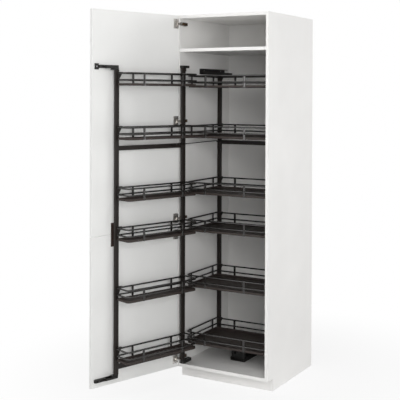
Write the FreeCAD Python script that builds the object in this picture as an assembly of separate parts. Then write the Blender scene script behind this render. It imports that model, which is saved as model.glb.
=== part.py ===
"""Tall kitchen larder cabinet with a two-part door, a swinging door-side basket frame and a
sliding inner basket frame. Every physical piece is its own solid. Lengths are millimetres.

Pieces are drawn in carcass coordinates: X runs along the front from the outer left side,
Y runs into the depth from the front edge, Z runs up from the floor. Pieces on the door and
on the swinging frame are drawn shut and then turned open. The last step moves everything so
that the origin lies on the floor under the middle of the carcass.
"""
import FreeCAD, Part
import math
import os

os.makedirs("parts", exist_ok=True)

# Carcass. Heights of things inside are counted from the underside of the bottom panel.
CARCASS_WIDTH = 600.0
CARCASS_DEPTH = 600.0
CARCASS_HEIGHT = 2060.0
PANEL = 18.0
PLINTH_HEIGHT = 70.0
TOE_KICK = 63.0
PLINTH_BOARD = 16.0
REAR_RAIL_INSET = 30.0
BACK_BOARD = 8.0
BACK_INSET = 6.0
GROOVE_DEPTH = 8.0
GROOVE_GAP = 0.3
TOP_COMPARTMENT = 177.0
EDGE_ROUND = 0.8

# Cam fittings that draw the flat boards to the side panels
CAM_RADIUS = 7.5
CAM_HEIGHT = 12.5
CAM_FROM_SIDE = 34.0
CAM_FROM_FRONT = 60.0
CAM_BOLT_RADIUS = 3.5
CAM_BOLT_IN_SIDE = 11.0
CAM_SLOT_WIDTH = 1.6
CAM_SLOT_DEPTH = 2.0
BORE_GAP = 0.15

# Levelling feet
FOOT_PAD_RADIUS = 15.0
FOOT_PAD_HEIGHT = 8.0
FOOT_ROD_RADIUS = 4.0
FOOT_BRACKET_WIDTH = 40.0
FOOT_BRACKET_HEIGHT = 30.0
FOOT_INSET = 110.0

# Door fronts and their hinges
FRONT_THICKNESS = 18.0
FRONT_GAP = 2.5
REVEAL = 1.5
LOWER_FRONT_SHARE = 0.4
OPEN_ANGLE = 108.8
HINGE_AXIS_X = 6.0
HINGE_AXIS_Y = -10.0
HINGE_END_INSET = 50.0
HINGE_SEAM_INSET_UPPER = 49.0
HINGE_SEAM_INSET_LOWER = 45.0
CUP_RADIUS = 17.3
CUP_DEPTH = 11.0
CUP_BORE_FLOOR_GAP = 0.5
CUP_WALL = 1.3
CUP_EDGE = 3.0
CUP_BORE_GAP = 0.2
FLANGE_HEIGHT = 57.0
FLANGE_WIDTH = 35.0
FLANGE_THICKNESS = 1.4
CUP_SCREW_SPAN = 48.0
ARM_PLATE_THICKNESS = 4.0
ARM_PLATE_HEIGHT = 24.0
ARM_PLATE_LENGTH = 30.0
PLATE_SCREW_REACH = 9.0
ARM_PLATE_FROM_FRONT = 30.0
ARM_THICKNESS = 10.0
ARM_HEIGHT = 16.0
ARM_LENGTH = 62.0
ARM_WALL = 1.6
LINK_CUP_X = 8.4
LINK_CUP_Y = -3.4
LINK_LENGTH = 19.6
LINK_SHUT_ANGLE = -1.8
LINK_OPEN_ANGLE = 142.7
LINK_THICKNESS = 2.4
LINK_SIDE_GAP = 0.3
LINK_SLOT_GAP = 0.25
KNUCKLE_RADIUS = 1.8
ARM_NOSE = 7.0
ARM_WEB_START = 4.0
FRONT_PLATE_HEIGHT = 130.0
FRONT_PLATE_WIDTH = 24.0
FRONT_PLATE_THICKNESS = 3.0
FRONT_PLATE_FROM_EDGE = 137.0

# Screws
SCREW_RADIUS = 2.0
SCREW_HEAD_RADIUS = 4.0
SCREW_HEAD_HEIGHT = 1.8
SCREW_LENGTH = 12.0
SCREW_SLOT_WIDTH = 1.2
SCREW_SLOT_DEPTH = 1.0

# Guide rails on the door
RAIL_FROM_EDGE = 17.0
RAIL_LENGTH = 146.0
RAIL_HEIGHT = 17.0
RAIL_DEPTH = 17.0
TRAY_START = 11.5
TRAY_LENGTH = 79.0
TRAY_DEPTH = 38.0
TRAY_HEIGHT = 10.0
TRAY_WALL = 3.5
TRAY_END_WALL = 5.0
TRAY_FLOOR = 2.0
RAIL_END_ROUND = 5.0
RAIL_FOOT_LENGTH = 24.0
RAIL_FOOT_HEIGHT = 33.0
RAIL_FOOT_DEPTH = 6.0
RAIL_SEAT_DEPTH = 4.0
RAIL_SCREW_INSET = 12.0
LOWER_RAIL_HEIGHT = 32.0
UPPER_RAIL_BELOW_SHELF = 108.0

# Swinging frame on the door side
PIVOT_X = 40.0
PIVOT_Y = 5.0
POST_WIDTH = 28.0
POST_THICKNESS = 12.0
POST_WALL = 2.0
POST_ROUND = 3.0
POST_GROOVE = 3.0
POST_GROOVE_DEPTH = 0.8
POST_FROM_PIVOT = 8.0
FRAME_FROM_PIVOT = 8.5
FREE_POST_FROM_SIDE = 84.0
PIVOT_POST_BOTTOM = 53.0
PIVOT_POST_BELOW_SHELF = 102.0
CROSSBAR_HEIGHT = 25.0
CROSSBAR_BELOW_ROW = 35.0
LOWER_BAR_BELOW_ROW = 22.0
CROSSBAR_THICKNESS = 8.0
BLOCK_LENGTH = 42.0
BLOCK_SHIFT = 10.0
BLOCK_HEIGHT = 8.0
BLOCK_NOSE = 5.0
RAIL_RUN_GAP = 1.0
ROLLER_RADIUS = 3.0
ROLLER_OFFSET = 8.0
ROLLER_END_GAP = 1.5
LUG_THICKNESS = 6.0
LUG_EYE_RADIUS = 6.0
PIVOT_PIN_RADIUS = 3.5
PIVOT_PIN_GAP = 0.25
FLOOR_BRACKET_HEIGHT = 18.0
BRACKET_WIDTH = 24.0
BRACKET_DEPTH = 82.0
BRACKET_EDGE = 5.0
BRACKET_SHEET = 5.0
TOP_BRACKET_LENGTH = 62.0
TOP_BRACKET_HEIGHT = 24.0
TOP_BRACKET_THICKNESS = 14.0
PIVOT_RUN_GAP = 1.0

# Baskets
LOWEST_ROW = 133.0
ROW_SHARES = (0, 0.2217, 0.4388, 0.5850, 0.8041, 1)
TOP_BASKET_GAP = 2.0
BASKET_HEIGHT = 68.0
MID_RAIL_DROP = 37.0
RAIL_WIRE_RADIUS = 4.5
TRAY_RIM = 13.0
TRAY_SHEET = 1.5
UPRIGHT_WIDTH = 14.0
UPRIGHT_THICKNESS = 2.5
DOOR_BASKET_START = -1.0
DOOR_BASKET_FROM_SIDE = 80.0
DOOR_BASKET_FRONT = 128.0
DOOR_BASKET_CORNER = 22.0
BACK_CORNER = 8.0
DOOR_UPRIGHT_INSET = 105.0
INNER_BASKET_SIDE_GAP = 16.0
INNER_POST_FROM_BACK = 169.0
INNER_BASKET_FRONT = 50.0
INNER_BASKET_CORNER = 30.0
INNER_UPRIGHT_INSET = 137.0
INNER_UPRIGHT_SHIFT = 8.0
INNER_SIDE_UPRIGHT_INSET = 58.0
INNER_SIDE_REAR_INSET = 47.0
INNER_ROW_DROP = 6.0
HOOK_HEIGHT = 34.0
HOOK_THICKNESS = 3.0
HOOK_WIDTH = 26.0
HOOK_FOOT_WIDTH = 9.0
HOOK_SHIFT = 2.0
HOOK_LIP = 2.5

# Inner frame and its runners
INNER_POST_FROM_SIDE = 27.0
FLOOR_TRACK_WIDTH = 92.0
FLOOR_TRACK_HEIGHT = 22.0
FLOOR_TRACK_LEAD = 5.0
FLOOR_TRACK_BACK_GAP = 2.0
FLOOR_TRACK_LIP = 14.0
CARRIAGE_GAP = 1.0
CARRIAGE_HEIGHT = 30.0
CARRIAGE_LENGTH = 224.0
CARRIAGE_NOTCH_WIDTH = 8.0
CARRIAGE_NOTCH_DEPTH = 16.0
CARRIAGE_ROUND = 12.0
BASE_BAR_HEIGHT = 25.0
TOP_RAIL_BACK_GAP = 4.0
TOP_RAIL_LENGTH = 303.0
TOP_RAIL_TAIL = 58.0
TOP_RAIL_HEIGHT = 33.0
TOP_RAIL_TAIL_HEIGHT = 14.0
TOP_RAIL_WIDTH = 26.0
TOP_RAIL_WALL = 3.0
TOP_RAIL_BELOW_SHELF = 126.0
TOP_CARRIAGE_LENGTH = 110.0
TOP_STEM_WIDTH = 8.0
TOP_CHANNEL_HEIGHT = 8.0
POST_CAP = 6.0
POST_CAP_GAP = 3.0

# Coupling rod between the two frames
ROD_RADIUS = 2.5
ROD_EYE_RADIUS = 6.0
ROD_EYE_HEIGHT = 6.0
ROD_FRONT_ALONG = 94.0
ROD_FRONT_OUT = 54.0
ROD_REAR_X = 46.0
ROD_REAR_AHEAD = 17.0
ROD_DROP = 7.0
ROD_PIN_RADIUS = 2.2
ROD_PIN_GAP = 0.3
ROD_SEAT_GAP = 0.5
ROD_REAR_GAP = 1.0
ROD_BRACKET_THICKNESS = 4.0
ROD_BRACKET_WIDTH = 14.0

# Shares used to place things along other pieces
HALF_SHARE = 0.5
THIRD_SHARE = 1.0 / 3.0

UP = FreeCAD.Vector(0, 0, 1)
ALONG_X = FreeCAD.Vector(1, 0, 0)
ALONG_Y = FreeCAD.Vector(0, 1, 0)
TOTAL_HEIGHT = PLINTH_HEIGHT + CARCASS_HEIGHT
FLOOR_LEVEL = PLINTH_HEIGHT + PANEL
INNER_LEFT = PANEL
INNER_RIGHT = CARCASS_WIDTH - PANEL
BACK_FACE = CARCASS_DEPTH - BACK_INSET - BACK_BOARD

# Heights that follow the height of the carcass
LOWER_FRONT_MODULE = CARCASS_HEIGHT * LOWER_FRONT_SHARE
SHELF_UNDERSIDE = CARCASS_HEIGHT - PANEL - TOP_COMPARTMENT - PANEL
PIVOT_POST_TOP = SHELF_UNDERSIDE - PIVOT_POST_BELOW_SHELF
UPPER_RAIL_HEIGHT = SHELF_UNDERSIDE - UPPER_RAIL_BELOW_SHELF
TOP_RAIL_UNDERSIDE = SHELF_UNDERSIDE - TOP_RAIL_BELOW_SHELF
TOP_ROW = TOP_RAIL_UNDERSIDE - TOP_BASKET_GAP - HOOK_LIP - RAIL_WIRE_RADIUS - BASKET_HEIGHT
BASKET_ROWS = [LOWEST_ROW + (TOP_ROW - LOWEST_ROW) * share for share in ROW_SHARES]
CROSSBAR_TOP = BASKET_ROWS[-2] - CROSSBAR_BELOW_ROW
LOWER_BAR_TOP = LOWEST_ROW - LOWER_BAR_BELOW_ROW

# Places that follow the width and the depth of the carcass
RAIL_START = CARCASS_WIDTH - REVEAL - REVEAL - RAIL_FROM_EDGE - RAIL_LENGTH
FREE_POST_FROM_PIVOT = CARCASS_WIDTH - FREE_POST_FROM_SIDE - PIVOT_X
DOOR_BASKET_END = CARCASS_WIDTH - DOOR_BASKET_FROM_SIDE - PIVOT_X
INNER_POST_FRONT = BACK_FACE - INNER_POST_FROM_BACK
FLOOR_TRACK_FRONT = INNER_POST_FRONT + POST_THICKNESS - CARRIAGE_LENGTH - FLOOR_TRACK_LEAD
FLOOR_TRACK_LENGTH = BACK_FACE - FLOOR_TRACK_BACK_GAP - FLOOR_TRACK_FRONT
TOP_RAIL_FRONT = BACK_FACE - TOP_RAIL_BACK_GAP - TOP_RAIL_TAIL - TOP_RAIL_LENGTH
ROD_REAR_Y = INNER_POST_FRONT - ROD_REAR_AHEAD
LINK_HEIGHT = ARM_HEIGHT - ARM_WALL - ARM_WALL - LINK_SIDE_GAP - LINK_SIDE_GAP


def vec(x, y, z):
    """A point in carcass coordinates."""
    return FreeCAD.Vector(x, y, z)


def box(x, y, z, length, depth, height):
    """A block from its lowest corner and its three sides."""
    return Part.makeBox(length, depth, height, vec(x, y, z))


def rod(x, y, z, radius, length, axis=UP):
    """A round bar from the centre of its first end along an axis."""
    return Part.makeCylinder(radius, length, vec(x, y, z), axis)


def join(shapes):
    """One solid made from overlapping or touching shapes."""
    first = shapes[0]
    rest = shapes[1:]
    return first.fuse(rest).removeSplitter() if rest else first


def take(shape, tools):
    """The shape with bores, slots and pockets removed."""
    return shape.cut(tools) if tools else shape


def turned(shape, x, y, degrees):
    """A copy turned about a vertical line through x, y."""
    copy = shape.copy()
    copy.rotate(vec(x, y, 0), UP, degrees)
    return copy


def moved(shape, x, y, z):
    """A copy moved by x, y, z."""
    copy = shape.copy()
    copy.translate(vec(x, y, z))
    return copy


def on_door(shape):
    """Turns a piece drawn on the shut door to the open door."""
    return turned(shape, HINGE_AXIS_X, HINGE_AXIS_Y, -OPEN_ANGLE)


def on_frame(shape):
    """Turns a piece drawn on the shut swinging frame to the open frame."""
    return turned(shape, PIVOT_X, PIVOT_Y, -OPEN_ANGLE)


def save(name, shapes):
    """Writes one node, a single solid or a group of identical loose solids."""
    group = shapes if isinstance(shapes, list) else [shapes]
    shape = group[0] if len(group) == 1 else Part.makeCompound(group)
    placed = moved(shape, -CARCASS_WIDTH * HALF_SHARE, -CARCASS_DEPTH * HALF_SHARE, 0)
    placed.exportStep("parts/" + name + ".step")


def screw(x, y, z, axis, gap=0):
    """A slotted countersunk screw whose head top is at x, y, z and which points along axis."""
    head = Part.makeCylinder(SCREW_HEAD_RADIUS + gap, SCREW_HEAD_HEIGHT, vec(x, y, z), axis)
    shank = Part.makeCylinder(SCREW_RADIUS + gap, SCREW_LENGTH, vec(x, y, z), axis)
    body = join([head, shank])
    if gap:
        return body
    depth = SCREW_SLOT_DEPTH
    width = SCREW_SLOT_WIDTH
    half_width = width * HALF_SHARE
    radius = SCREW_HEAD_RADIUS
    across = radius + radius
    if abs(axis.x) > abs(axis.y) and abs(axis.x) > abs(axis.z):
        low_x = x if axis.x > 0 else x - depth
        slot = box(low_x, y - half_width, z - radius, depth, width, across)
    elif abs(axis.y) > abs(axis.z):
        low_y = y if axis.y > 0 else y - depth
        slot = box(x - half_width, low_y, z - radius, width, depth, across)
    else:
        low_z = z if axis.z > 0 else z - depth
        slot = box(x - half_width, y - radius, low_z, width, across, depth)
    return take(body, [slot])


# Fixing points shared by the pieces that are screwed together
def hinge_heights():
    """Heights of the five hinges, two on the lower front and three on the upper front."""
    seam = PLINTH_HEIGHT + LOWER_FRONT_MODULE
    low = PLINTH_HEIGHT + HINGE_END_INSET
    high = TOTAL_HEIGHT - HINGE_END_INSET
    above = seam + HINGE_SEAM_INSET_UPPER
    return (low, seam - HINGE_SEAM_INSET_LOWER, above, (above + high) * HALF_SHARE, high)


def plate_screws():
    """Screw heads of the hinge mounting plates, on the left side panel."""
    y = ARM_PLATE_FROM_FRONT + ARM_PLATE_LENGTH * HALF_SHARE
    reach = PLATE_SCREW_REACH
    return [(PANEL + ARM_PLATE_THICKNESS, y + step, z)
            for z in hinge_heights() for step in (-reach, reach)]


def top_bracket_screws():
    """Screw heads of the upper pivot bracket, on the left side panel."""
    shelf_z = PLINTH_HEIGHT + PIVOT_POST_TOP + LUG_THICKNESS + PIVOT_RUN_GAP
    z = shelf_z - TOP_BRACKET_HEIGHT * HALF_SHARE
    x = PANEL + BRACKET_SHEET
    inset = SCREW_HEAD_RADIUS + BRACKET_SHEET
    return [(x, TOP_BRACKET_LENGTH * THIRD_SHARE + inset, z), (x, TOP_BRACKET_LENGTH - inset, z)]


def top_rail_screws():
    """Screw heads inside the upper guide rail, on the left side panel."""
    z = PLINTH_HEIGHT + TOP_RAIL_UNDERSIDE + (TOP_RAIL_HEIGHT + TOP_RAIL_TAIL_HEIGHT) * HALF_SHARE
    step = TOP_RAIL_LENGTH * THIRD_SHARE * HALF_SHARE
    return [(PANEL + TOP_RAIL_WALL, TOP_RAIL_FRONT + step, z),
            (PANEL + TOP_RAIL_WALL, TOP_RAIL_FRONT + TOP_RAIL_LENGTH - step, z)]


def floor_bracket_screws():
    """Screw heads of the lower pivot bracket, on the bottom panel."""
    z = FLOOR_LEVEL + BRACKET_SHEET
    rear = PIVOT_Y - BRACKET_EDGE + BRACKET_DEPTH
    half = BRACKET_WIDTH * HALF_SHARE
    return [(PIVOT_X, rear - half, z), (PIVOT_X, rear - BRACKET_WIDTH - half, z)]


def floor_track_screws():
    """Screw heads in the floor track, on the bottom panel."""
    x = CARCASS_WIDTH * HALF_SHARE
    z = FLOOR_LEVEL + TOP_RAIL_WALL
    step = FLOOR_TRACK_LENGTH * THIRD_SHARE * HALF_SHARE
    return [(x, FLOOR_TRACK_FRONT + step, z), (x, FLOOR_TRACK_FRONT + FLOOR_TRACK_LENGTH - step, z)]


# Carcass
def carcass():
    """Side panels with a toe-kick notch, flat boards between them, back board and plinth."""
    notch_depth = TOE_KICK + PLINTH_BOARD
    groove_y = BACK_FACE - GROOVE_GAP
    groove_thickness = BACK_BOARD + GROOVE_GAP + GROOVE_GAP
    board_width = INNER_RIGHT - INNER_LEFT
    board_depth = BACK_FACE
    top_z = TOTAL_HEIGHT - PANEL
    shelf_z = PLINTH_HEIGHT + SHELF_UNDERSIDE
    boards = {"bottom_panel": PLINTH_HEIGHT, "fixed_shelf": shelf_z, "top_panel": top_z}

    locks = []
    bolts = []
    lock_bores = {}
    side_bores = {"left": [], "right": []}
    bolt_length = CAM_BOLT_IN_SIDE + CAM_FROM_SIDE - CAM_RADIUS
    for name, board_z in boards.items():
        lock_bores[name] = []
        lock_z = board_z + PANEL - CAM_HEIGHT if name == "top_panel" else board_z
        for x, side in ((INNER_LEFT, "left"), (INNER_RIGHT, "right")):
            inward = 1 if side == "left" else -1
            for y in (CAM_FROM_FRONT, board_depth - CAM_FROM_FRONT):
                centre_x = x + inward * CAM_FROM_SIDE
                lock = rod(centre_x, y, lock_z, CAM_RADIUS, CAM_HEIGHT)
                lock_bore = rod(centre_x, y, lock_z, CAM_RADIUS + BORE_GAP, CAM_HEIGHT)
                slot_z = lock_z + CAM_HEIGHT - CAM_SLOT_DEPTH if name == "top_panel" else lock_z
                slot = box(centre_x - CAM_RADIUS * HALF_SHARE, y - CAM_SLOT_WIDTH * HALF_SHARE, slot_z,
                           CAM_RADIUS, CAM_SLOT_WIDTH, CAM_SLOT_DEPTH)
                locks.append(take(lock, [slot]))
                start_x = x - inward * CAM_BOLT_IN_SIDE
                axis = ALONG_X * inward
                bolt_z = board_z + PANEL * HALF_SHARE
                bolts.append(rod(start_x, y, bolt_z, CAM_BOLT_RADIUS, bolt_length, axis))
                bore = rod(start_x, y, bolt_z, CAM_BOLT_RADIUS + BORE_GAP, bolt_length, axis)
                side_bores[side].append(bore)
                lock_bores[name] += [lock_bore, bore]

    for side in ("left", "right"):
        x = 0 if side == "left" else INNER_RIGHT
        groove_x = INNER_LEFT - GROOVE_DEPTH if side == "left" else INNER_RIGHT
        panel = box(x, 0, 0, PANEL, CARCASS_DEPTH, TOTAL_HEIGHT)
        notch = box(x, 0, 0, PANEL, notch_depth, PLINTH_HEIGHT)
        groove = box(groove_x, groove_y, PLINTH_HEIGHT, GROOVE_DEPTH, groove_thickness, CARCASS_HEIGHT)
        if side == "left":
            fixings = plate_screws() + top_bracket_screws() + top_rail_screws()
            side_bores[side] += [screw(px, py, pz, -ALONG_X, BORE_GAP) for px, py, pz in fixings]
        save("side_panel_" + side, take(panel, [notch, groove] + side_bores[side]))

    for name, board_z in boards.items():
        board = box(INNER_LEFT, 0, board_z, board_width, board_depth - GROOVE_GAP, PANEL)
        if name == "bottom_panel":
            fixings = floor_bracket_screws() + floor_track_screws()
            lock_bores[name] += [screw(px, py, pz, -UP, BORE_GAP) for px, py, pz in fixings]
        save(name, take(board, lock_bores[name]))

    back_x = INNER_LEFT - GROOVE_DEPTH + GROOVE_GAP
    back_width = board_width + (GROOVE_DEPTH - GROOVE_GAP) * len(side_bores)
    save("back_panel", box(back_x, BACK_FACE, PLINTH_HEIGHT, back_width, BACK_BOARD, CARCASS_HEIGHT))

    plinth = box(0, TOE_KICK, 0, CARCASS_WIDTH, PLINTH_BOARD, PLINTH_HEIGHT)
    save("plinth_board", plinth)
    rear_y = CARCASS_DEPTH - REAR_RAIL_INSET - PLINTH_BOARD
    save("rear_plinth_rail", box(INNER_LEFT, rear_y, 0, board_width, PLINTH_BOARD, PLINTH_HEIGHT))
    save("cam_locks", locks)
    save("cam_bolts", bolts)


def levelling_feet():
    """A plastic block in each corner under the bottom panel with a threaded foot in it."""
    blocks = []
    feet = []
    block_z = PLINTH_HEIGHT - FOOT_BRACKET_HEIGHT
    rod_length = block_z + FOOT_BRACKET_HEIGHT * HALF_SHARE - FOOT_PAD_HEIGHT
    half = FOOT_BRACKET_WIDTH * HALF_SHARE
    for x in (INNER_LEFT + half, INNER_RIGHT - half):
        for y in (FOOT_INSET, BACK_FACE - FOOT_INSET):
            block = box(x - half, y - half, block_z, FOOT_BRACKET_WIDTH, FOOT_BRACKET_WIDTH,
                        FOOT_BRACKET_HEIGHT)
            bore = rod(x, y, block_z, FOOT_ROD_RADIUS + BORE_GAP, FOOT_BRACKET_HEIGHT)
            blocks.append(take(block, [bore]))
            pad = rod(x, y, 0, FOOT_PAD_RADIUS, FOOT_PAD_HEIGHT)
            stem = rod(x, y, FOOT_PAD_HEIGHT, FOOT_ROD_RADIUS, rod_length)
            feet.append(join([pad, stem]))
    save("levelling_foot_blocks", blocks)
    save("levelling_feet", feet)


# Door
def fronts():
    """Two fronts joined by a screwed plate, with hinge cups, and guide rails for the frame."""
    face_y = -FRONT_GAP
    width = CARCASS_WIDTH - REVEAL - REVEAL
    seam = PLINTH_HEIGHT + LOWER_FRONT_MODULE
    low_z = PLINTH_HEIGHT + REVEAL
    lower = box(REVEAL, face_y - FRONT_THICKNESS, low_z, width, FRONT_THICKNESS,
                LOWER_FRONT_MODULE - REVEAL - REVEAL)
    upper = box(REVEAL, face_y - FRONT_THICKNESS, seam + REVEAL, width, FRONT_THICKNESS,
                TOTAL_HEIGHT - REVEAL - seam - REVEAL)
    into = -ALONG_Y

    cups = []
    cup_screws = []
    bores = []
    cup_x = REVEAL + CUP_EDGE + CUP_RADIUS + CUP_BORE_GAP
    mouth_radius = CUP_RADIUS - CUP_WALL
    hollow = CUP_DEPTH - CUP_WALL + FLANGE_THICKNESS
    for z in hinge_heights():
        body = rod(cup_x, face_y, z, CUP_RADIUS, CUP_DEPTH, into)
        flange = box(cup_x - FLANGE_WIDTH * HALF_SHARE, face_y, z - FLANGE_HEIGHT * HALF_SHARE,
                     FLANGE_WIDTH, FLANGE_THICKNESS, FLANGE_HEIGHT)
        mouth = rod(cup_x, face_y + FLANGE_THICKNESS, z, mouth_radius, hollow, into)
        slot_y = LINK_CUP_Y - KNUCKLE_RADIUS - LINK_SLOT_GAP
        slot_x = cup_x - FLANGE_WIDTH * HALF_SHARE
        slot_half = LINK_HEIGHT * HALF_SHARE + LINK_SLOT_GAP
        rim_slot = box(slot_x, slot_y, z - slot_half, LINK_CUP_X + KNUCKLE_RADIUS - slot_x,
                       face_y + FLANGE_THICKNESS - slot_y, slot_half + slot_half)
        tools = [mouth, rim_slot]
        for step in (-CUP_SCREW_SPAN * HALF_SHARE, CUP_SCREW_SPAN * HALF_SHARE):
            point = (cup_x, face_y + FLANGE_THICKNESS, z + step)
            cup_screws.append(screw(*point, into))
            tools.append(screw(*point, into, BORE_GAP))
        cups.append(take(join([body, flange]), tools))
        bores += tools[2:]
        bores.append(rod(cup_x, face_y, z, CUP_RADIUS + CUP_BORE_GAP, CUP_DEPTH + CUP_BORE_FLOOR_GAP, into))

    plate_screws_made = []
    plate_y = face_y + FRONT_PLATE_THICKNESS
    plate_x = CARCASS_WIDTH - REVEAL - FRONT_PLATE_FROM_EDGE
    plate = box(plate_x - FRONT_PLATE_WIDTH * HALF_SHARE, face_y, seam - FRONT_PLATE_HEIGHT * HALF_SHARE,
                FRONT_PLATE_WIDTH, FRONT_PLATE_THICKNESS, FRONT_PLATE_HEIGHT)
    plate_tools = []
    reach = FRONT_PLATE_HEIGHT * HALF_SHARE - SCREW_HEAD_RADIUS - SCREW_HEAD_RADIUS
    for step in (-reach, -reach * HALF_SHARE, reach * HALF_SHARE, reach):
        plate_screws_made.append(screw(plate_x, plate_y, seam + step, into))
        plate_tools.append(screw(plate_x, plate_y, seam + step, into, BORE_GAP))
    bores += plate_tools

    rail_screws = []
    for name, rail_height, up in (("lower", LOWER_RAIL_HEIGHT, 1), ("upper", UPPER_RAIL_HEIGHT, -1)):
        rail_z = PLINTH_HEIGHT + rail_height
        rail, tools, made = guide_rail(rail_z, up, face_y)
        save("door_guide_rail_" + name, on_door(rail))
        bores += tools
        rail_screws += made

    save("door_front_lower", on_door(take(lower, [b for b in bores if b.BoundBox.ZMin < seam])))
    save("door_front_upper", on_door(take(upper, [b for b in bores if b.BoundBox.ZMax > seam])))
    save("hinge_cups", [on_door(s) for s in cups])
    save("hinge_cup_screws", [on_door(s) for s in cup_screws])
    save("front_joining_plate", on_door(take(plate, plate_tools)))
    save("joining_plate_screws", [on_door(s) for s in plate_screws_made])
    save("guide_rail_screws", [on_door(s) for s in rail_screws])


def guide_rail(rail_z, up, face_y):
    """A rail on the door whose wide, shallow tray takes the roller on the frame's free post.

    Returns the rail, the bores for its screws and the screws. The tray opens towards the
    post, upwards in the lower rail and downwards in the upper one, which also has a foot.
    """
    start_x = REVEAL + RAIL_START
    end_x = start_x + RAIL_LENGTH
    middle_z = rail_z + RAIL_HEIGHT * HALF_SHARE
    bar_length = RAIL_LENGTH if up > 0 else RAIL_LENGTH - RAIL_FOOT_LENGTH
    bar = box(start_x, face_y, rail_z, bar_length, RAIL_DEPTH, RAIL_HEIGHT)
    outer_y = face_y + RAIL_DEPTH - EDGE_ROUND
    outer = [edge for edge in bar.Edges if is_upright(edge) and edge.BoundBox.YMin > outer_y]
    far_end = [edge for edge in outer if edge.BoundBox.XMin > start_x + EDGE_ROUND]
    bar = bar.makeFillet(RAIL_END_ROUND, far_end)
    tray_z = rail_z + RAIL_HEIGHT - TRAY_HEIGHT if up > 0 else rail_z
    tray = box(start_x + TRAY_START, face_y, tray_z, TRAY_LENGTH, TRAY_DEPTH, TRAY_HEIGHT)
    shapes = [bar, tray]
    if up < 0:
        shapes.append(box(end_x - RAIL_FOOT_LENGTH, face_y, middle_z - RAIL_FOOT_HEIGHT * HALF_SHARE,
                          RAIL_FOOT_LENGTH, RAIL_FOOT_DEPTH, RAIL_FOOT_HEIGHT))
    body = join(shapes)
    outer_y = face_y + TRAY_DEPTH - EDGE_ROUND
    corner = [edge for edge in body.Edges if is_upright(edge) and edge.BoundBox.YMin > outer_y]
    body = body.makeFillet(RAIL_END_ROUND, corner)
    groove_z = tray_z + TRAY_FLOOR if up > 0 else tray_z
    groove = box(start_x + TRAY_START + TRAY_END_WALL, face_y + TRAY_WALL, groove_z,
                 TRAY_LENGTH - TRAY_END_WALL - TRAY_END_WALL, TRAY_DEPTH - TRAY_WALL - TRAY_WALL,
                 TRAY_HEIGHT - TRAY_FLOOR)
    tools = []
    made = []
    cutters = [groove]
    end_seat = RAIL_SEAT_DEPTH if up > 0 else RAIL_FOOT_DEPTH
    seats = ((start_x + TRAY_START + TRAY_LENGTH + RAIL_SCREW_INSET, RAIL_SEAT_DEPTH),
             (end_x - RAIL_SCREW_INSET, end_seat))
    for x, seat_depth in seats:
        seat_y = face_y + seat_depth
        made.append(screw(x, seat_y, middle_z, -ALONG_Y))
        tools.append(screw(x, seat_y, middle_z, -ALONG_Y, BORE_GAP))
        cutters.append(rod(x, seat_y, middle_z, SCREW_HEAD_RADIUS + BORE_GAP, RAIL_DEPTH, ALONG_Y))
    return take(body, cutters + tools), tools, made


def is_upright(edge):
    """True for a straight vertical edge."""
    bounds = edge.BoundBox
    return bounds.XLength < EDGE_ROUND and bounds.YLength < EDGE_ROUND and bounds.ZLength > EDGE_ROUND


# Hinges between the left side panel and the door
def hinges():
    """Mounting plates and channel-shaped arms on the panel, and links that reach the cups."""
    plates = []
    arms = []
    links = []
    screws = [screw(x, y, z, -ALONG_X) for x, y, z in plate_screws()]
    bores = [screw(x, y, z, -ALONG_X, BORE_GAP) for x, y, z in plate_screws()]
    arm_x = PANEL + ARM_PLATE_THICKNESS
    half_height = ARM_HEIGHT * HALF_SHARE
    for z in hinge_heights():
        plate = box(PANEL, ARM_PLATE_FROM_FRONT, z - ARM_PLATE_HEIGHT * HALF_SHARE, ARM_PLATE_THICKNESS,
                    ARM_PLATE_LENGTH, ARM_PLATE_HEIGHT)
        near = [b for b in bores if abs(b.BoundBox.Center.z - z) < ARM_PLATE_HEIGHT]
        plates.append(take(plate, near))
        length = ARM_LENGTH + ARM_NOSE
        lower = box(arm_x, -ARM_NOSE, z - half_height, ARM_THICKNESS, length, ARM_WALL)
        upper = box(arm_x, -ARM_NOSE, z + half_height - ARM_WALL, ARM_THICKNESS, length, ARM_WALL)
        web = box(arm_x + ARM_THICKNESS - ARM_WALL, ARM_WEB_START, z - half_height, ARM_WALL,
                  ARM_LENGTH - ARM_WEB_START, ARM_HEIGHT)
        bed = box(arm_x, ARM_PLATE_FROM_FRONT, z - half_height, ARM_WALL, ARM_PLATE_LENGTH, ARM_HEIGHT)
        arms.append(join([lower, upper, web, bed]))
        strap = box(0, -LINK_THICKNESS * HALF_SHARE, z - LINK_HEIGHT * HALF_SHARE, LINK_LENGTH,
                    LINK_THICKNESS, LINK_HEIGHT)
        cup_end = rod(0, 0, z - LINK_HEIGHT * HALF_SHARE, KNUCKLE_RADIUS, LINK_HEIGHT)
        arm_end = rod(LINK_LENGTH, 0, z - LINK_HEIGHT * HALF_SHARE, KNUCKLE_RADIUS, LINK_HEIGHT)
        link = turned(join([strap, cup_end, arm_end]), 0, 0, LINK_SHUT_ANGLE)
        link = turned(moved(link, LINK_CUP_X, LINK_CUP_Y, 0), LINK_CUP_X, LINK_CUP_Y, LINK_OPEN_ANGLE)
        links.append(on_door(link))
    save("hinge_mounting_plates", plates)
    save("hinge_plate_screws", screws)
    save("hinge_arms", arms)
    save("hinge_links", links)


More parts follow.
